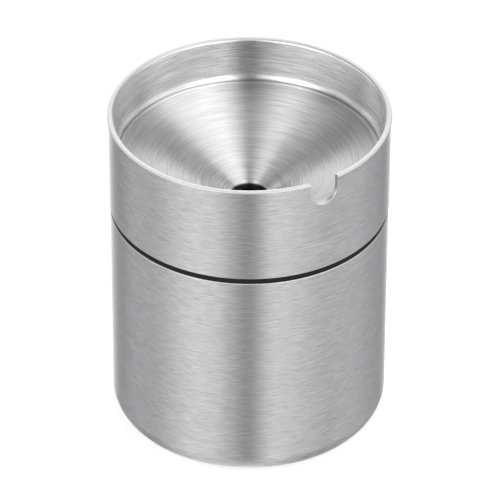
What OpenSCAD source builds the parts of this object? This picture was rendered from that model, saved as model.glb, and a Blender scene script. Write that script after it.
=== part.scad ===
// Tabletop ashtray with a funnel head that lifts off its ash container.
// Origin: centre of the face it stands on, +Z up. The cigarette rest faces -Y.
// All sizes are in millimetres.

/* [Overall] */
// Outside diameter of the head's tube
head_d = 90; // [70:1:120]
// Height of the container's wall, from its foot to its open edge
container_h = 76.6; // [50:0.1:140]
// Height of the head's tube, from the seal to the underside of the rim
tube_h = 32.4; // [27:0.1:60]

/* [Container] */
// How much smaller the container's outside radius is than the head's
container_step = 0.2; // [0.1:0.05:0.8]
// Sheet thickness of the container
container_t = 0.8; // [0.6:0.05:1.2]
// Outside radius where the container's wall turns into its base
foot_r = 7; // [3:0.5:10]
// Width of the flat ring that surrounds the pad under the base
foot_land = 3; // [2:0.1:6]
// How far the middle of the base is pressed up for the pad
base_recess = 1.2; // [0.6:0.1:2]

/* [Base pad] */
// How far the pad stands out below the container's foot
pad_proud = 0.4; // [0.2:0.1:1]
// Clearance around the pad in its recess
pad_clear = 0.4; // [0.2:0.1:1]

/* [Head tube] */
// Sheet thickness of the head's tube
tube_t = 1.0; // [0.8:0.05:1.6]

/* [Funnel dish] */
// Sheet thickness of the dish
dish_t = 0.6; // [0.4:0.05:0.75]
// Gap between the dish's upright wall and the tube around it
dish_gap = 0.15; // [0.1:0.05:0.5]
// How far the rim reaches past the outside of the tube
rim_overhang = 0.35; // [0.1:0.05:1]
// Radius of the rolled inner edge of the rim
rim_bend = 0.9; // [0.8:0.05:1.4]
// Depth of the upright wall below the rim
wall_depth = 12.6; // [9:0.1:18]
// Radius where the upright wall turns into the funnel
dish_fillet = 2.8; // [1.5:0.1:6]
// Slope of the funnel from level, in degrees
funnel_slope = 24.3; // [15:0.1:30]
// Diameter of the ash hole
hole_d = 12.1; // [8:0.1:20]
// Radius of the edge that rolls down into the ash hole
lip_r = 1.0; // [0.8:0.1:2]
// Length of the straight neck below the ash hole
neck_l = 1.2; // [0.5:0.1:5]

/* [Cigarette rest] */
// Width of the rest
rest_w = 10; // [7:0.5:14]
// Depth of the rest below the rim
rest_depth = 8.6; // [5:0.1:9]

/* [Plug collar] */
// Sheet thickness of the collar
collar_t = 0.8; // [0.5:0.05:1.2]
// Radial space between the collar and the container's wall, filled by the seal
seal_space = 1.3; // [1.1:0.05:2]
// How far the collar reaches up inside the head's tube
collar_rise = 8; // [6:0.5:10]
// How far the collar plugs down into the container
collar_drop = 9; // [6:0.5:14]
// Clearance between the collar and the tube that it is welded into
weld_clear = 0.05; // [0.02:0.01:0.1]
// Height of the step where the collar widens to the tube
collar_step_h = 2; // [1.5:0.1:3]
// Length of the flared end that keeps the seal on the collar
flare_l = 1.2; // [0.8:0.1:2]
// How far the flared end stands out from the collar
flare_out = 0.6; // [0.3:0.05:0.7]

/* [Seal ring] */
// Height of the band that shows between the head and the container
band_h = 2; // [1:0.1:4]
// How far the band is set in from the container's outside
band_inset = 0.1; // [0:0.05:0.4]
// Radius of the band's soft outer edges
band_edge_r = 0.3; // [0.1:0.05:0.4]
// Thickness of the sleeve below the band
sleeve_t = 0.75; // [0.5:0.05:0.8]
// Number of soft ribs around the sleeve
rib_count = 3; // [1:1:4]
// Height of one rib along the sleeve
rib_h = 0.8; // [0.5:0.1:1]
// Height of the flat on a rib's crest
rib_crest = 0.2; // [0.1:0.05:0.4]
// Running clearance between the seal and the metal on either side
seal_clear = 0.05; // [0.02:0.01:0.08]

/* [Finish] */
// Radius that takes the sharpness off cut sheet edges
edge_r = 0.25; // [0.1:0.05:0.25]

/* [Hidden] */
$fn = 128;
// straight pieces that an arc in an outline is cut into
arc_steps = 6;

// heights, from the standing face up
foot_z = pad_proud;
container_top = foot_z + container_h;
tube_bottom = container_top + band_h;
tube_top = tube_bottom + tube_h;
rim_top = tube_top + dish_t;

// radii, from the outside in
tube_r = head_d / 2;
tube_in_r = tube_r - tube_t;
rim_r = tube_r + rim_overhang;
dish_out_r = tube_in_r - dish_gap;
dish_in_r = dish_out_r - dish_t;
container_r = tube_r - container_step;
container_in_r = container_r - container_t;
collar_r = container_in_r - seal_space;
collar_top_r = tube_in_r - weld_clear;
hole_r = hole_d / 2;

// recess pressed into the base, and the pad in it
recess_r = container_r - foot_r - foot_land;
recess_top = foot_z + base_recess;
pad_r = recess_r - pad_clear;

// funnel: fillet centre, the straight cone's ends, and the lip's centre
fillet_r = dish_in_r - dish_fillet;
fillet_z = rim_top - wall_depth;
cone_top_r = fillet_r + dish_fillet * sin(funnel_slope);
cone_top_z = fillet_z - dish_fillet * cos(funnel_slope);
lip_centre_r = hole_r + lip_r;
cone_end_r = lip_centre_r - lip_r * sin(funnel_slope);
cone_end_z = cone_top_z - (cone_top_r - cone_end_r) * tan(funnel_slope);
lip_z = cone_end_z - lip_r * cos(funnel_slope);
neck_bottom = lip_z - neck_l;
cone_angle = 90 + funnel_slope;

// collar and seal, from the container's open edge down
collar_bottom = container_top - collar_drop;
flare_top = collar_bottom + flare_l;
sleeve_bottom = flare_top + seal_clear;
sleeve_in_r = collar_r + seal_clear;
sleeve_r = sleeve_in_r + sleeve_t;
rib_r = container_in_r - seal_clear;
band_r = container_r - band_inset;
rib_pitch = (container_top - sleeve_bottom) / rib_count;

// points of an arc about a centre, from one angle to another
function arc(centre, r, from, to) =
    [for (i = [0:arc_steps])
        let (a = from + (to - from) * i / arc_steps)
        centre + r * [cos(a), sin(a)]];

// rounded outer corner at the top or the bottom of a turned shape
function top_round(r_out, z, round_r) = arc([r_out - round_r, z - round_r], round_r, 0, 90);
function bottom_round(r_out, z, round_r) = arc([r_out - round_r, z + round_r], round_r, 270, 360);

// a sheet's cut edge with both of its corners rounded, at a wall's top or bottom
function top_edge(r_out, r_in, z) = concat(
    top_round(r_out, z, edge_r),
    arc([r_in + edge_r, z - edge_r], edge_r, 90, 180));
function bottom_edge(r_out, r_in, z) = concat(
    arc([r_in + edge_r, z + edge_r], edge_r, 180, 270),
    bottom_round(r_out, z, edge_r));

// slot with a round bottom on the -Y side, from inside the dish to past the rim
module rest_cut() {
    translate([0, rest_w - dish_in_r, rim_top - rest_depth + rest_w / 2])
        rotate([90, 0, 0])
            linear_extrude(rim_r - dish_in_r + 2 * rest_w)
                union() {
                    circle(d = rest_w);
                    translate([-rest_w / 2, 0])
                        square([rest_w, rest_depth]);
                }
}

// drawn cup with a rounded foot and a base pressed up in the middle
module container() {
    foot_centre = [container_r - foot_r, foot_z + foot_r];
    color("lightsteelblue")
        rotate_extrude()
            polygon(concat(
                [[0, recess_top], [recess_r, recess_top],
                 [recess_r + base_recess / 2, foot_z]],
                arc(foot_centre, foot_r, 270, 360),
                top_edge(container_r, container_in_r, container_top),
                arc(foot_centre, foot_r - container_t, 360, 270),
                [[recess_r + base_recess / 2 + container_t / 2, foot_z + container_t],
                 [recess_r + container_t / 2, recess_top + container_t],
                 [0, recess_top + container_t]]));
}

// disc of soft rubber in the recess, which the ashtray stands on
module base_pad() {
    color("dimgray")
        rotate_extrude()
            polygon(concat(
                [[0, 0]],
                bottom_round(pad_r, 0, edge_r),
                [[pad_r, recess_top], [0, recess_top]]));
}

// seal: a band between the two bodies and a ribbed sleeve inside the container
module seal_ring() {
    rib_out = rib_r - sleeve_r + sleeve_t / 2;
    color("black")
        rotate_extrude()
            union() {
                polygon(concat(
                    [[sleeve_in_r, sleeve_bottom], [sleeve_r, sleeve_bottom],
                     [sleeve_r, container_top]],
                    bottom_round(band_r, container_top, band_edge_r),
                    top_round(band_r, tube_bottom, band_edge_r),
                    [[sleeve_in_r, tube_bottom]]));
                for (i = [0:rib_count - 1])
                    translate([sleeve_in_r + sleeve_t / 2, sleeve_bottom + rib_pitch * (i + 0.5) - rib_h / 2])
                        polygon([[0, 0], [rib_out, (rib_h - rib_crest) / 2],
                                 [rib_out, (rib_h + rib_crest) / 2], [0, rib_h]]);
            }
}

// stepped sleeve welded inside the head's tube, which plugs into the container
module plug_collar() {
    step_z = tube_bottom + edge_r;
    color("silver")
        rotate_extrude()
            polygon([
                [collar_r - collar_t, collar_bottom + flare_out],
                [collar_r - collar_t + flare_out, collar_bottom],
                [collar_r + flare_out, collar_bottom],
                [collar_r + flare_out, collar_bottom + flare_l / 3],
                [collar_r, flare_top],
                [collar_r, step_z],
                [collar_top_r, step_z + collar_step_h],
                [collar_top_r, tube_bottom + collar_rise],
                [collar_top_r - collar_t, tube_bottom + collar_rise],
                [collar_top_r - collar_t, step_z + collar_step_h + collar_t / 2],
                [collar_r - collar_t, step_z + collar_t / 2]]);
}

// upright tube that is the outside of the head
module head_tube() {
    color("lightsteelblue")
        difference() {
            rotate_extrude()
                polygon(concat(
                    top_edge(tube_r, tube_in_r, tube_top),
                    bottom_edge(tube_r, tube_in_r, tube_bottom)));
            rest_cut();
        }
}

// one pressed sheet: rim over the tube's edge, upright wall, funnel and neck
module funnel_dish() {
    rim_edge = [rim_r - dish_t / 2, rim_top - dish_t / 2];
    rim_roll = [dish_in_r + rim_bend, rim_top - rim_bend];
    wall_foot = [fillet_r, fillet_z];
    lip_centre = [lip_centre_r, lip_z];
    color("silver")
        difference() {
            rotate_extrude()
                polygon(concat(
                    arc(rim_edge, dish_t / 2, -90, 90),
                    arc(rim_roll, rim_bend, 90, 180),
                    arc(wall_foot, dish_fillet, 0, -(180 - cone_angle)),
                    arc(lip_centre, lip_r, cone_angle, 180),
                    [[hole_r, neck_bottom], [hole_r + dish_t, neck_bottom]],
                    arc(lip_centre, lip_r - dish_t, 180, cone_angle),
                    arc(wall_foot, dish_fillet + dish_t, -(180 - cone_angle), 0),
                    arc(rim_roll, rim_bend - dish_t, 180, 90)));
            rest_cut();
        }
}

container();
base_pad();
seal_ring();
plug_collar();
head_tube();
funnel_dish();
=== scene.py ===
"""A tabletop ashtray: a round steel container, a rubber seal, and a funnel head that lifts off."""
import math

import bmesh
import bpy
from mathutils import Matrix, Vector


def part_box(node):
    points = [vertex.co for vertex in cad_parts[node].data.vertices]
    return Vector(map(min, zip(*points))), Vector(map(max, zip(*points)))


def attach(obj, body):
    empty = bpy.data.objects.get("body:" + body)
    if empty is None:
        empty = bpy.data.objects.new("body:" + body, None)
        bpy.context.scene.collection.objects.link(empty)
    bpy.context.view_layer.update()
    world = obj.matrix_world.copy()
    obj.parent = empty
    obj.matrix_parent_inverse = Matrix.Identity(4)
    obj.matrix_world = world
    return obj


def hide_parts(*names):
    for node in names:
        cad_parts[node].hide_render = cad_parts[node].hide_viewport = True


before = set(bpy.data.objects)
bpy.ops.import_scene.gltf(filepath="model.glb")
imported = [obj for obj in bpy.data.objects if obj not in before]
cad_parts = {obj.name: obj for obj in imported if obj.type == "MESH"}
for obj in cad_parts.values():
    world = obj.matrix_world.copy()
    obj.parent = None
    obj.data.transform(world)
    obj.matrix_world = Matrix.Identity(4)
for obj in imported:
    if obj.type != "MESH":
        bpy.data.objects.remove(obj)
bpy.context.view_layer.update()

MM = 0.001

# ---------------------------------------------------------------- sizes, from the frame


def points_of(node):
    """Distance from the axis and height of every point of a CAD node."""
    return [(math.hypot(v.co.x, v.co.y), v.co.z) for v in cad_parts[node].data.vertices]


def radii(node, low, high):
    """Smallest and largest distance from the axis between two heights of a CAD node."""
    found = [r for r, z in points_of(node) if low <= z <= high]
    return min(found), max(found)


def ring(node, height):
    """Inner and outer radius of a CAD node at one of its edges' heights."""
    return radii(node, height - 0.01 * MM, height + 0.01 * MM)


def heights(node, radius):
    """Lowest and highest edge of a CAD node at one radius."""
    found = [z for r, z in points_of(node) if abs(r - radius) < 0.005 * MM]
    return min(found), max(found)


def span(node):
    """Lowest and highest point of a CAD node."""
    low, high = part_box(node)
    return low.z, high.z


# Container: a drawn cup whose base is pressed up to hold the rubber pad.
foot, container_top = span("container")
container_in, container_out = radii("container", container_top / 2, container_top)
sheet = container_out - container_in
land_in, land_out = ring("container", foot)
foot_round = container_out - land_out
pad_top = span("base_pad")[1]
pad_out = radii("base_pad", 0, pad_top)[1]
recess_out = ring("container", pad_top)[1]

# Seal: a flat band between head and container, with a ribbed sleeve below it.
sleeve_low, band_top = span("seal_ring")
seal_in, sleeve_out = ring("seal_ring", sleeve_low)
band_low = container_top
rib_out = radii("seal_ring", sleeve_low, band_low - 1 * MM)[1]
band_out = radii("seal_ring", sleeve_low, band_top)[1]

# Collar: the plain sleeve under the funnel that the seal sits on.
collar_low, collar_top = span("plug_collar")
collar_head_in, collar_head_out = ring("plug_collar", collar_top)
collar_lip = ring("plug_collar", collar_low)[1]
collar_step = band_top + 0.25 * MM
collar_in, collar_out = collar_head_in - 1.25 * MM, collar_head_out - 1.25 * MM

# Head: an outer tube and the funnel dish whose rim covers the tube's top edge.
tube_low, tube_top = span("head_tube")
tube_in, tube_out = radii("head_tube", tube_low, tube_top)
neck_low, rim_top = span("funnel_dish")
hole_in, hole_out = ring("funnel_dish", neck_low)
dish_sheet = hole_out - hole_in
rim_out = radii("funnel_dish", neck_low, rim_top)[1]
bend_in, bend_round = 43.25 * MM, 0.9 * MM
wall_foot = heights("funnel_dish", bend_in)[0]
dish_fillet = 2.8 * MM
dish_slope = math.radians(24.3)
lip_round = 1.0 * MM

# Cigarette rest: the only edges of the tube between its two ends belong to it.
rest_edge = [v.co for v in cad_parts["head_tube"].data.vertices
             if tube_low + 1 * MM < v.co.z < tube_top - 1 * MM]
rest_half = max(p.x for p in rest_edge)
rest_low = min(p.z for p in rest_edge)
rest_centre = rest_low + rest_half
rest_zone = rest_low - 2.6 * MM

# Finish: how edges are broken, and how finely round shapes and the rest's bottom are drawn.
edge = 0.25 * MM
deburr = 0.1 * MM
arc_step = math.radians(12)
guard = 0.1 * MM
around = 256
rest_steps = 24

# ---------------------------------------------------------------- outlines


def outline(corners):
    """A profile through corners of (radius, height) or (radius, height, rounding).

    Each rounding is an arc. A long straight run gets a point close to both of its ends, so that
    smooth shading stays flat along it.
    """
    corners = [Vector((*c, 0)[:3]) for c in corners]
    runs = []
    for k, corner in enumerate(corners):
        here = Vector(corner[:2])
        if k in (0, len(corners) - 1) or corner[2] == 0:
            runs.append([here])
            continue
        before = (here - Vector(corners[k - 1][:2])).normalized()
        after = (Vector(corners[k + 1][:2]) - here).normalized()
        turn = before.angle_signed(after)
        inset = corner[2] * math.tan(abs(turn) / 2)
        start = here - before * inset
        side = Vector((-before.y, before.x)) * (-1 if turn > 0 else 1)
        centre = start + side * corner[2]
        steps = max(3, math.ceil(abs(turn) / arc_step))
        arm = start - centre
        runs.append([centre + Matrix.Rotation(-turn * n / steps, 2) @ arm for n in range(steps + 1)])
    points = []
    for run in runs:
        if points:
            gap = run[0] - points[-1]
            if gap.length > 10 * guard:
                near = gap.normalized() * guard
                points += [points[-1] + near, run[0] - near]
            if gap.length < 0.001 * MM:
                run = run[1:]
        points += run
    return [tuple(p) for p in points]


# ---------------------------------------------------------------- nodes, for shapes and finishes


class Wire:
    """A socket's output. An expression on wires adds the Math nodes that work it out."""

    def __init__(self, tree, socket):
        self.tree = tree
        self.socket = socket

    def maths(self, operation, *values):
        settings = {"operation": operation}
        return self.tree.node("ShaderNodeMath", settings, dict(enumerate(values)))

    def __add__(self, other):
        return self.maths("ADD", self, other)

    def __sub__(self, other):
        return self.maths("SUBTRACT", self, other)

    def __rsub__(self, other):
        return self.maths("SUBTRACT", other, self)

    def __mul__(self, other):
        return self.maths("MULTIPLY", self, other)

    def __truediv__(self, other):
        return self.maths("DIVIDE", self, other)

    def __pow__(self, other):
        return self.maths("POWER", self, other)

    def __mod__(self, other):
        return self.maths("FLOORED_MODULO", self, other)

    def __abs__(self):
        return self.maths("ABSOLUTE", self)

    __radd__ = __add__
    __rmul__ = __mul__


class Tree:
    """A node tree of a material, of the studio's surroundings or of a shape."""

    def __init__(self, tree):
        self.tree = tree
        tree.nodes.clear()

    def node(self, kind, settings=None, values=None, output=0):
        """Adds a node: its settings first, then the values or wires of its sockets."""
        made = self.tree.nodes.new(kind)
        for name, value in (settings or {}).items():
            setattr(made, name, value)
        for name, value in (values or {}).items():
            if isinstance(value, Wire):
                self.tree.links.new(value.socket, made.inputs[name])
            else:
                made.inputs[name].default_value = value
        outputs = made.outputs
        return Wire(self, outputs[output]) if len(outputs) else made

    def parts(self, vector):
        """The three numbers of a vector."""
        separate = self.node("ShaderNodeSeparateXYZ", values={0: vector})
        return [Wire(self, socket) for socket in separate.socket.node.outputs]

    def vector(self, *numbers):
        return self.node("ShaderNodeCombineXYZ", values=dict(enumerate(numbers)))

    def ramp(self, value, low, high, start=0.0, end=1.0, smooth=True):
        """Goes from start to end as value goes from low to high."""
        settings = {"interpolation_type": "SMOOTHSTEP" if smooth else "LINEAR"}
        values = {0: value, 1: low, 2: high, 3: start, 4: end}
        return self.node("ShaderNodeMapRange", settings, values)


# ---------------------------------------------------------------- finishes


def blend_grey(tree, factor, dark, light):
    """A colour between two, by factor; a factor past 0 or 1 goes on beyond them."""
    settings = {"data_type": "RGBA", "clamp_factor": False}
    values = {0: factor, 6: (*dark, 1), 7: (*light, 1)}
    return tree.node("ShaderNodeMix", settings, values, output=2)


def hairs(tree, x, y, across, length, width):
    """Brush marks that run round the axis, of about one length and one width."""
    stretched = tree.vector(x * (1 / length), y * (1 / length), across * (1 / width))
    values = {"Vector": stretched, "Scale": 1.0, "Detail": 1.0, "Roughness": 0.65}
    return tree.node("ShaderNodeTexNoise", values=values)


def painted_step_light(tree, tone, off):
    """A fine turned step, drawn only as painted light: a painted shade ring at off = 0 with a painted
    highlight ring inside it.
    """
    painted_shade_ring = tree.ramp(abs(off), 0.5, 1.5, 0.6, 0.0)
    painted_highlight_ring = tree.ramp(abs(off + 3.5), 0.5, 1.5, 0.65, 0.0)
    return tone - painted_shade_ring + painted_highlight_ring


def painted_hole_shade(tree, tone, radius, hole):
    """The wall of a hole gets painted shade: black there, and less dark with each step away from it
    over its lip.
    """
    hole_shade = tree.ramp(radius, hole, hole + 0.4 * MM, 1.0, 0.0)
    return tone * (1 - hole_shade) - hole_shade


def brushed_steel(name, dark, light, roughness, marks, spread, groove, line=None, hole=None):
    """Steel brushed in rings round the axis: tone, gloss and height follow the brush marks.

    Marks are (length, width, share) of each layer. A line is the radius of a turned step, drawn
    as a painted shade ring with a painted highlight ring inside it, and the steel outside it is
    polished smoother. A hole is the radius of the one that ash falls through, whose wall gets
    painted shade. Spread is how much the gloss varies, and groove how deep the marks look.
    """
    material = bpy.data.materials.new(name)
    material.use_nodes = True
    tree = Tree(material.node_tree)
    x, y, z = tree.parts(tree.node("ShaderNodeTexCoord", output="Object"))
    radius = (x * x + y * y) ** 0.5
    across = radius + z
    grain = 0.5
    for length, width, part in marks:
        grain = (hairs(tree, x, y, across, length, width) - 0.5) * part + grain
    cloud = tree.node("ShaderNodeTexNoise", values={
        "Vector": tree.vector(x, y, z * 0.4), "Scale": 28.0, "Detail": 1.0})
    tone = tree.ramp(grain, 0.25, 0.75, smooth=False)
    if line:
        off = (radius - line) / (0.2 * MM)
        # painted shade and painted highlight of the turned step go into the tone
        tone = painted_step_light(tree, tone, off)
        roughness = tree.ramp(off, -1, 2, roughness, roughness - 0.07)
    if hole:
        # painted shade: the hole's wall is blackened in the tone
        tone = painted_hole_shade(tree, tone, radius, hole)
    gloss = roughness + (grain - 0.5) * spread + (cloud - 0.5) * 0.04
    bump = tree.node("ShaderNodeBump", values={
        "Strength": groove, "Distance": 0.05 * MM, "Height": grain})
    shader = tree.node("ShaderNodeBsdfPrincipled", values={
        "Base Color": blend_grey(tree, tone, dark, light),
        "Metallic": 1.0,
        "Roughness": gloss,
        "Anisotropic": 1.0,
        "Anisotropic Rotation": 0.25,
        "Normal": bump,
    })
    tree.node("ShaderNodeOutputMaterial", values={0: shader})
    return material


def cut_steel_highlight():
    """Rims and the cut of the cigarette rest: bare cut steel, finely nicked, and brighter than the
    brushed skins, partly as a painted highlight along the edges.
    """
    material = bpy.data.materials.new("cut_steel_highlight")
    material.use_nodes = True
    tree = Tree(material.node_tree)
    place = tree.node("ShaderNodeTexCoord", output="Object")
    nick = tree.node("ShaderNodeTexNoise", values={
        "Vector": place, "Scale": 2600.0, "Detail": 2.0, "Roughness": 0.6})
    bump = tree.node("ShaderNodeBump", values={
        "Strength": 0.2, "Distance": 0.04 * MM, "Height": nick})
    shader = tree.node("ShaderNodeBsdfPrincipled", values={
        "Base Color": blend_grey(tree, nick, (0.62, 0.62, 0.62), (0.76, 0.76, 0.76)),
        "Metallic": 1.0,
        "Roughness": 0.36 + nick * 0.14,
        "Normal": bump,
    })
    tree.node("ShaderNodeOutputMaterial", values={0: shader})
    return material


def rubber(name, dark, light, roughness, pore):
    """Moulded rubber: nearly black, with a fine dull texture."""
    material = bpy.data.materials.new(name)
    material.use_nodes = True
    tree = Tree(material.node_tree)
    place = tree.node("ShaderNodeTexCoord", output="Object")
    speck = tree.node("ShaderNodeTexNoise", values={
        "Vector": place, "Scale": 1 / pore, "Detail": 3.0, "Roughness": 0.7})
    dust = tree.node("ShaderNodeTexNoise", values={"Vector": place, "Scale": 90.0, "Detail": 2.0})
    bump = tree.node("ShaderNodeBump", values={
        "Strength": 0.3, "Distance": 0.05 * MM, "Height": speck})
    shader = tree.node("ShaderNodeBsdfPrincipled", values={
        "Base Color": blend_grey(tree, speck * 0.6 + dust * 0.4, dark, light),
        "Roughness": roughness + (dust - 0.5) * 0.15,
        "Specular IOR Level": 0.2,
        "Normal": bump,
    })
    tree.node("ShaderNodeOutputMaterial", values={0: shader})
    return material


# Layers of brush marks: length, width, share.
FINE_MARKS = ((3.6 * MM, 0.16 * MM, 0.95), (8 * MM, 0.35 * MM, 0.25), (25 * MM, 1.2 * MM, 0.1))
TURNED_MARKS = ((9 * MM, 0.15 * MM, 0.9), (22 * MM, 0.3 * MM, 0.35), (60 * MM, 1.2 * MM, 0.2))
DRAWN_MARKS = ((8 * MM, 0.3 * MM, 0.5), (25 * MM, 1.2 * MM, 0.5))

body_steel = brushed_steel(
    "body_steel", (0.48, 0.48, 0.481), (0.76, 0.76, 0.763), 0.33, FINE_MARKS, 0.12, 0.3)
dish_steel = brushed_steel(
    "dish_steel", (0.48, 0.48, 0.477), (0.88, 0.88, 0.873), 0.33, TURNED_MARKS, 0.2, 0.45,
    line=bend_in - 1.3 * MM, hole=hole_in)
plain_steel = brushed_steel(
    "drawn_steel", (0.5, 0.5, 0.51), (0.6, 0.6, 0.61), 0.42, DRAWN_MARKS, 0.08, 0.1)
# painted highlight: the cut edges' steel is made brighter so that rims and the rest's cut shine
cut_edge_highlight = cut_steel_highlight()
seal_rubber = rubber(
    "seal_rubber", (0.004, 0.004, 0.0045), (0.012, 0.012, 0.013), 0.55, 0.25 * MM)
pad_rubber = rubber(
    "pad_rubber", (0.02, 0.02, 0.021), (0.05, 0.05, 0.052), 0.75, 0.5 * MM)

# ---------------------------------------------------------------- turned pieces


def turning_tree():
    """Turns the outline that it is given about the Z axis, into a closed smooth skin."""
    group = bpy.data.node_groups.new("turned_piece", "GeometryNodeTree")
    face = group.interface
    face.new_socket("Outline", in_out="INPUT", socket_type="NodeSocketGeometry")
    face.new_socket("Segments", in_out="INPUT", socket_type="NodeSocketInt")
    face.new_socket("Finish", in_out="INPUT", socket_type="NodeSocketMaterial")
    face.new_socket("Piece", in_out="OUTPUT", socket_type="NodeSocketGeometry")
    tree = Tree(group)
    given = tree.node("NodeGroupInput").socket.node.outputs
    profile, segments, finish = (Wire(tree, given[k]) for k in range(3))
    rows = tree.node("GeometryNodeAttributeDomainSize", values={0: profile})
    grid = tree.node("GeometryNodeMeshGrid", values={
        "Vertices X": segments + 1, "Vertices Y": rows})
    index = tree.node("GeometryNodeInputIndex")
    row = index % rows
    turn = (index - row) / rows / segments * (2 * math.pi)
    place = tree.node("GeometryNodeSampleIndex", {"data_type": "FLOAT_VECTOR"}, {
        "Geometry": profile, "Value": tree.node("GeometryNodeInputPosition"), "Index": row})
    radius, _, height = tree.parts(place)
    turned = tree.vector(
        radius * turn.maths("COSINE", turn), radius * turn.maths("SINE", turn), height)
    skin = tree.node("GeometryNodeSetPosition", values={"Geometry": grid, "Position": turned})
    skin = tree.node("GeometryNodeMergeByDistance", values={0: skin, "Distance": 0.002 * MM})
    skin = tree.node("GeometryNodeSetShadeSmooth", values={0: skin})
    skin = tree.node("GeometryNodeSetMaterial", values={0: skin, "Material": finish})
    skin = tree.node("GeometryNodeRealizeInstances", values={0: skin})
    tree.node("NodeGroupOutput", values={0: skin})
    return group


TURNING = turning_tree()


def link(name, mesh):
    made = bpy.data.objects.new(name, mesh)
    bpy.context.scene.collection.objects.link(made)
    return made


def set_input(modifier, name, value):
    """Sets a modifier's named input by its socket's identifier."""
    sockets = modifier.node_group.interface.items_tree
    modifier[next(s.identifier for s in sockets if s.name == name)] = value


def turned(name, profile, finish):
    """A piece turned from an outline of (radius, height) points, from below to above outside."""
    mesh = bpy.data.meshes.new(name)
    mesh.from_pydata([(r, 0, z) for r, z in profile], [], [])
    piece = link(name, mesh)
    modifier = piece.modifiers.new("turned", "NODES")
    modifier.node_group = TURNING
    set_input(modifier, "Segments", around)
    set_input(modifier, "Finish", finish)
    graph = bpy.context.evaluated_depsgraph_get()
    solid = bpy.data.meshes.new_from_object(piece.evaluated_get(graph))
    piece.modifiers.clear()
    piece.data = solid
    # The grid that was turned brings an empty first slot along.
    solid.materials.pop(index=0)
    close_faces(solid)
    return piece


def close_faces(mesh):
    """Points every face of a closed mesh outwards."""
    work = bmesh.new()
    work.from_mesh(mesh)
    bmesh.ops.dissolve_degenerate(work, dist=1e-8, edges=work.edges)
    bmesh.ops.recalc_face_normals(work, faces=work.faces)
    work.to_mesh(mesh)
    work.free()


def trim(piece, height):
    """Gives the faces above a height the finish of a cut edge, with its painted highlight, the piece's
    second one.
    """
    for face in piece.data.polygons:
        if face.center.z > height:
            face.material_index = 1


def fit(piece, node, body):
    """The piece stands for a CAD node, and rides on its body."""
    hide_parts(node)
    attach(piece, body)


def container():
    profile = outline([
        (0, pad_top),
        (recess_out, pad_top, 0.3 * MM),
        (land_in, foot, 0.3 * MM),
        (container_out, foot, foot_round),
        (container_out, container_top, edge),
        (container_in, container_top, edge),
        (container_in, foot + sheet, foot_round - sheet),
        (land_in + (land_in - recess_out) * 0.7, foot + sheet, 0.3 * MM),
        (recess_out + (land_in - recess_out) * 0.7, pad_top + sheet, 0.3 * MM),
        (0, pad_top + sheet),
    ])
    cup = turned("steel_container", profile, body_steel)
    cup.data.materials.append(cut_edge_highlight)
    trim(cup, container_top - edge)
    return cup


def base_pad():
    profile = outline([
        (0, 0),
        (pad_out, 0, 0.25 * MM),
        (pad_out, pad_top, 0.1 * MM),
        (0, pad_top),
    ])
    return turned("rubber_base_pad", profile, pad_rubber)


def seal_ring():
    """The band that shows in the seam, and the sleeve with its ribs."""
    ribs = 3
    pitch = (band_low - sleeve_low) / ribs
    half = 0.26 * MM
    profile = [(seal_in + 0.3 * MM, sleeve_low), (sleeve_out, sleeve_low, 0.2 * MM)]
    for n in range(ribs):
        crest = sleeve_low + (n + 0.5) * pitch
        profile += [
            (sleeve_out, crest - half, 0.05 * MM),
            (rib_out, crest - 0.1 * MM, 0.1 * MM),
            (rib_out, crest + 0.1 * MM, 0.1 * MM),
            (sleeve_out, crest + half, 0.05 * MM),
        ]
    profile += [
        (sleeve_out, band_low, 0.1 * MM),
        (band_out, band_low, 0.4 * MM),
        (band_out, band_top, 0.5 * MM),
        (seal_in, band_top, 0.2 * MM),
        (seal_in, sleeve_low, 0.2 * MM),
        (seal_in + 0.3 * MM, sleeve_low),
    ]
    return turned("rubber_seal_ring", outline(profile), seal_rubber)


def plug_collar():
    thick = collar_head_out - collar_head_in
    step = 2 * MM
    bend = 0.4 * MM
    lip = 0.4 * MM
    profile = outline([
        (collar_lip - lip, collar_low),
        (collar_lip, collar_low, 0.15 * MM),
        (collar_lip, collar_low + lip, 0.15 * MM),
        (collar_out, collar_low + 3 * lip, bend),
        (collar_out, collar_step, bend),
        (collar_head_out, collar_step + step, bend),
        (collar_head_out, collar_top, edge),
        (collar_head_in, collar_top, edge),
        (collar_head_in, collar_step + step + thick / 2, bend),
        (collar_in, collar_step + thick / 2, bend),
        (collar_in, collar_low + 0.6 * MM, 0.3 * MM),
        (collar_lip - 2 * lip, collar_low, 0.1 * MM),
        (collar_lip - lip, collar_low),
    ])
    return turned("steel_plug_collar", profile, plain_steel)


# ---------------------------------------------------------------- notched sheets


def wall_rows(radius):
    """Rows of a wall beside the rest: they close up towards its cut edge."""
    shares = (0, 0.3, 0.55, 0.75, 0.9, 0.97, 1)
    return [(radius, rest_zone + (rest_centre - rest_zone) * share) for share in shares]


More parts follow.
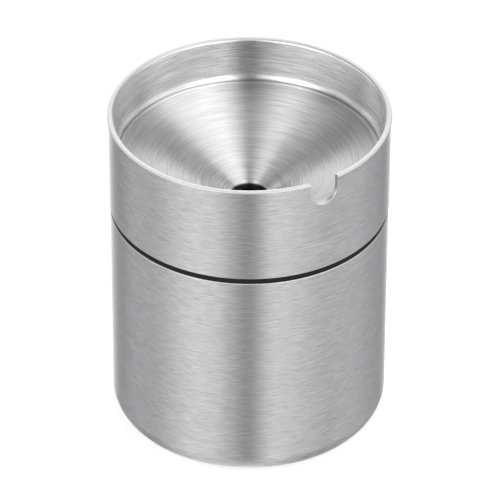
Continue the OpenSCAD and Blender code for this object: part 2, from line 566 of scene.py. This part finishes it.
def rested_sheet(name, outside, inside, finish):
    """A turned sheet between two matching outlines, with the cigarette rest cut in its front.

    Below the rest all columns go round. Beside and above it they stop at the cut, whose edges are
    broken by a small round, and whose face joins the two skins.
    """
    rows = len(outside)
    low_row = next(k for k, p in enumerate(outside) if abs(p[1] - rest_zone) < 1e-7)
    cut_row = next(k for k, p in enumerate(outside) if abs(p[1] - rest_centre) < 1e-7)
    zone_half = math.asin(1.8 * rest_half / tube_out)
    across = [math.radians(-90 + 180 * n / rest_steps) for n in range(rest_steps + 1)]
    first = 0.25 * MM / (2 * math.pi * tube_out)
    behind = around - 16
    beyond = [first] + [n / behind for n in range(1, behind)] + [1 - first]
    columns = len(across) + len(beyond)
    thickness = (Vector(outside[cut_row]) - Vector(inside[cut_row])).length
    # Layers of the cut's face: depth in the sheet, and how far the cut stands back there.
    chamfer = deburr * (1 - math.cos(math.radians(45)))
    layers = [(chamfer, chamfer), (deburr, 0), (thickness - deburr, 0), (thickness - chamfer, chamfer)]

    def share(row):
        if row <= low_row:
            return 0
        done = (outside[row][1] - rest_zone) / (rest_centre - rest_zone)
        return min(done, 1) if row < cut_row else 1

    def place(point, row, column, half):
        """A point of a row at a column, with the cut at half its width from the middle."""
        radius, height = point
        s = share(row)
        side = s * math.asin(half / radius) + (1 - s) * zone_half
        if column < len(across):
            t = across[column]
            bearing = s * math.asin(half * math.sin(t) / radius)
            bearing += (1 - s) * zone_half * t / math.radians(90)
            if low_row < row <= cut_row:
                height = s * (rest_centre - half * math.cos(t)) + (1 - s) * rest_zone
        else:
            bearing = side + beyond[column - len(across)] * 2 * (math.pi - side)
        return (radius * math.sin(bearing), -radius * math.cos(bearing), height)

    def exists(row, column):
        return row <= cut_row or not 0 < column < len(across) - 1

    vertices = []
    skins = []
    for points in (outside, inside):
        skin = {}
        for row, point in enumerate(points):
            for column in range(columns):
                if exists(row, column):
                    skin[row, column] = len(vertices)
                    vertices.append(place(point, row, column, rest_half + deburr))
        skins.append(skin)
    outer, inner = skins
    faces = []
    for row in range(rows - 1):
        for column in range(columns):
            beside = (column + 1) % columns
            if row >= cut_row and column < len(across) - 1:
                continue
            low, high = (row, row + 1)
            a, b, c, d = (low, column), (low, beside), (high, beside), (high, column)
            faces.append([outer[k] for k in (a, b, c, d)])
            faces.append([inner[k] for k in (d, c, b, a)])
    for row in (0, rows - 1):
        for column in range(columns):
            beside = (column + 1) % columns
            if row and column < len(across) - 1:
                continue
            faces.append([outer[row, column], outer[row, beside],
                          inner[row, beside], inner[row, column]])
    # The cut runs down one side of the rest, round its bottom and up the other side.
    right = len(across) - 1
    stations = [(row, 0) for row in range(rows - 1, cut_row, -1)]
    stations += [(cut_row, column) for column in range(len(across))]
    stations += [(row, right) for row in range(cut_row + 1, rows)]
    cut = []
    for row, column in stations:
        out, into = Vector(outside[row]), Vector(inside[row])
        line = [outer[row, column]]
        for depth, offset in layers:
            line.append(len(vertices))
            point = out.lerp(into, depth / thickness)
            vertices.append(place(point, row, column, rest_half + offset))
        cut.append(line + [inner[row, column]])
    skin_faces = len(faces)
    for one, two in zip(cut, cut[1:]):
        for n in range(len(one) - 1):
            faces.append([one[n], two[n], two[n + 1], one[n + 1]])
    faces += [cut[0], cut[-1]]
    mesh = bpy.data.meshes.new(name)
    mesh.from_pydata(vertices, [], faces)
    for face in mesh.polygons[skin_faces:]:
        face.material_index = 1
    close_faces(mesh)
    mesh.shade_smooth()
    mesh.materials.append(finish)
    mesh.materials.append(cut_edge_highlight)
    return link(name, mesh)


def head_tube():
    middle = (tube_in + tube_out) / 2

    def skin(radius):
        seat = middle + (radius - middle) * 0.2
        return outline(
            [(seat, tube_low), (radius, tube_low, edge)] + wall_rows(radius)
            + [(radius, tube_top, edge), (seat, tube_top)])

    return rested_sheet("steel_head_tube", skin(tube_out), skin(tube_in), body_steel)


def funnel_dish():
    """The funnel, its upright wall and the rim that laps over the tube, one sheet throughout."""
    corner = wall_foot - dish_fillet * math.tan((math.pi / 2 - dish_slope) / 2)
    lip = corner - (bend_in - hole_in) * math.tan(dish_slope)
    drop = dish_sheet * (1 / math.cos(dish_slope) - math.tan(dish_slope))
    nose = 0.28 * MM

    def skin(depth):
        below = drop * depth / dish_sheet
        wall = bend_in + depth
        side = 1 if depth == 0 else -1
        rim_edge = rim_top - dish_sheet / 2 + (dish_sheet / 2 - nose) * side
        return outline(
            [(hole_in + depth, neck_low),
             (hole_in + depth, lip - below, lip_round - depth),
             (wall, corner - below, dish_fillet + depth)]
            + wall_rows(wall)
            + [(wall, rim_top - depth, bend_round - depth),
               (rim_out, rim_top - depth, nose),
               (rim_out, rim_edge)])

    dish = rested_sheet("steel_funnel_dish", skin(dish_sheet), skin(0), dish_steel)
    trim(dish, rim_top - 0.4 * MM)
    return dish


fit(container(), "container", "container")
fit(base_pad(), "base_pad", "container")
fit(seal_ring(), "seal_ring", "seal")
fit(plug_collar(), "plug_collar", "head")
fit(head_tube(), "head_tube", "head")
fit(funnel_dish(), "funnel_dish", "head")

# ---------------------------------------------------------------- studio

# A separate program solved the camera from the outlines of the rim, the seam and the foot.
CAMERA_BEARING = math.radians(-31.3)
CAMERA_BACK = 1.1547
CAMERA_HEIGHT = 0.8708
CAMERA_PITCH = math.radians(35.12)
CAMERA_ROLL = math.radians(0.19)
LENS = 313.2
SHIFT = 0.0017


def camera():
    made = bpy.data.objects.new("camera", bpy.data.cameras.new("camera"))
    bpy.context.scene.collection.objects.link(made)
    made.data.lens = LENS
    made.data.sensor_width = 36
    made.data.shift_x = SHIFT
    made.data.clip_start = 0.05
    made.data.clip_end = 50
    turn = Matrix.Rotation(CAMERA_BEARING, 4, "Z")
    tilt = Matrix.Rotation(math.pi / 2 - CAMERA_PITCH, 4, "X")
    roll = Matrix.Rotation(CAMERA_ROLL, 4, "Z")
    stand = Matrix.Translation(turn @ Vector((0, -CAMERA_BACK, CAMERA_HEIGHT)))
    made.matrix_world = stand @ turn @ tilt @ roll
    bpy.context.scene.camera = made


def floor():
    """A wide pale sweep that the ashtray stands on."""
    size = 6.0
    mesh = bpy.data.meshes.new("floor")
    steps = 96
    rim = [(size * math.cos(2 * math.pi * n / steps), size * math.sin(2 * math.pi * n / steps), 0)
           for n in range(steps)]
    mesh.from_pydata(rim, [], [range(steps)])
    made = link("floor", mesh)
    made.visible_glossy = False
    made.visible_shadow = False
    material = bpy.data.materials.new("pale_floor")
    material.use_nodes = True
    tree = Tree(material.node_tree)
    shader = tree.node("ShaderNodeBsdfPrincipled", values={
        "Base Color": (0.6, 0.6, 0.6, 1),
        "Roughness": 0.9,
        "Specular IOR Level": 0.0,
        "Emission Color": (1, 1, 1, 1),
        "Emission Strength": 0.55,
    })
    tree.node("ShaderNodeOutputMaterial", values={0: shader})
    mesh.materials.append(material)


# Soft panels round the table: bearing of the middle from the camera, half width and feather,
# lowest and highest elevation and feather, all in degrees, and strength. A separate fitting
# program worked these numbers out, and they were rounded. Only some of the right curtain's, the
# right strip's and the back wall's were changed after that.
PANELS = {
    "right softbox": (33, 20, 8, 3, 66, 9, 1.9),
    "right curtain": (67, 60, 9, -38, 44, 16, 0.5),
    "right strip": (75, 23, 2, 0, 49, 4, 0.85),
    "left softbox": (-43, 19, 20, 21, 55, 12, 3.5),
    "left curtain": (-68, 47, 20, -10, 19, 19, 2.15),
    "left strip": (-18, 12, 3, 9, 36, 15, 1.35),
    "back wall": (182, 27, 19, -93, 28, 30, 2.5),
    "top sheet": (140, 82, 6, 52, 77, 4, 1.4),
    "table top": (-22, 67, 19, -95, -45, 10, 0.87),
}
ROOM = 0.2


def surroundings():
    world = bpy.data.worlds.new("studio")
    world.use_nodes = True
    bpy.context.scene.world = world
    tree = Tree(world.node_tree)
    direction = tree.node("ShaderNodeTexCoord", output="Generated")
    x, y, z = tree.parts(direction)
    front_x, front_y = math.sin(CAMERA_BEARING), -math.cos(CAMERA_BEARING)
    front = x * front_x + y * front_y
    side = x * -front_y + y * front_x
    bearing = side.maths("ARCTAN2", side, front) * (180 / math.pi)
    elevation = z.maths("ARCSINE", z) * (180 / math.pi)
    light = ROOM
    for centre, half, side_feather, low, high, feather, strength in PANELS.values():
        away = abs((bearing - centre + 180) % 360 - 180)
        width = tree.ramp(away, half - side_feather, half + side_feather, 1.0, 0.0)
        foot_edge = tree.ramp(elevation, low - feather, low + feather)
        top_edge = tree.ramp(elevation, high - feather, high + feather, 1.0, 0.0)
        light = width * foot_edge * top_edge * strength + light
    seen = tree.node("ShaderNodeLightPath", output="Is Camera Ray")
    glow = seen * (1 - light) + light
    aside = tree.ramp(abs(bearing), 55, 100) - tree.ramp(abs(bearing), 125, 160)
    tint = blend_grey(tree, aside, (1, 1, 1), (1, 1.013, 1.045))
    shader = tree.node("ShaderNodeBackground", values={"Color": tint, "Strength": glow})
    tree.node("ShaderNodeOutputWorld", values={0: shader})


camera()
floor()
surroundings()
bpy.context.scene.view_settings.view_transform = "Standard"
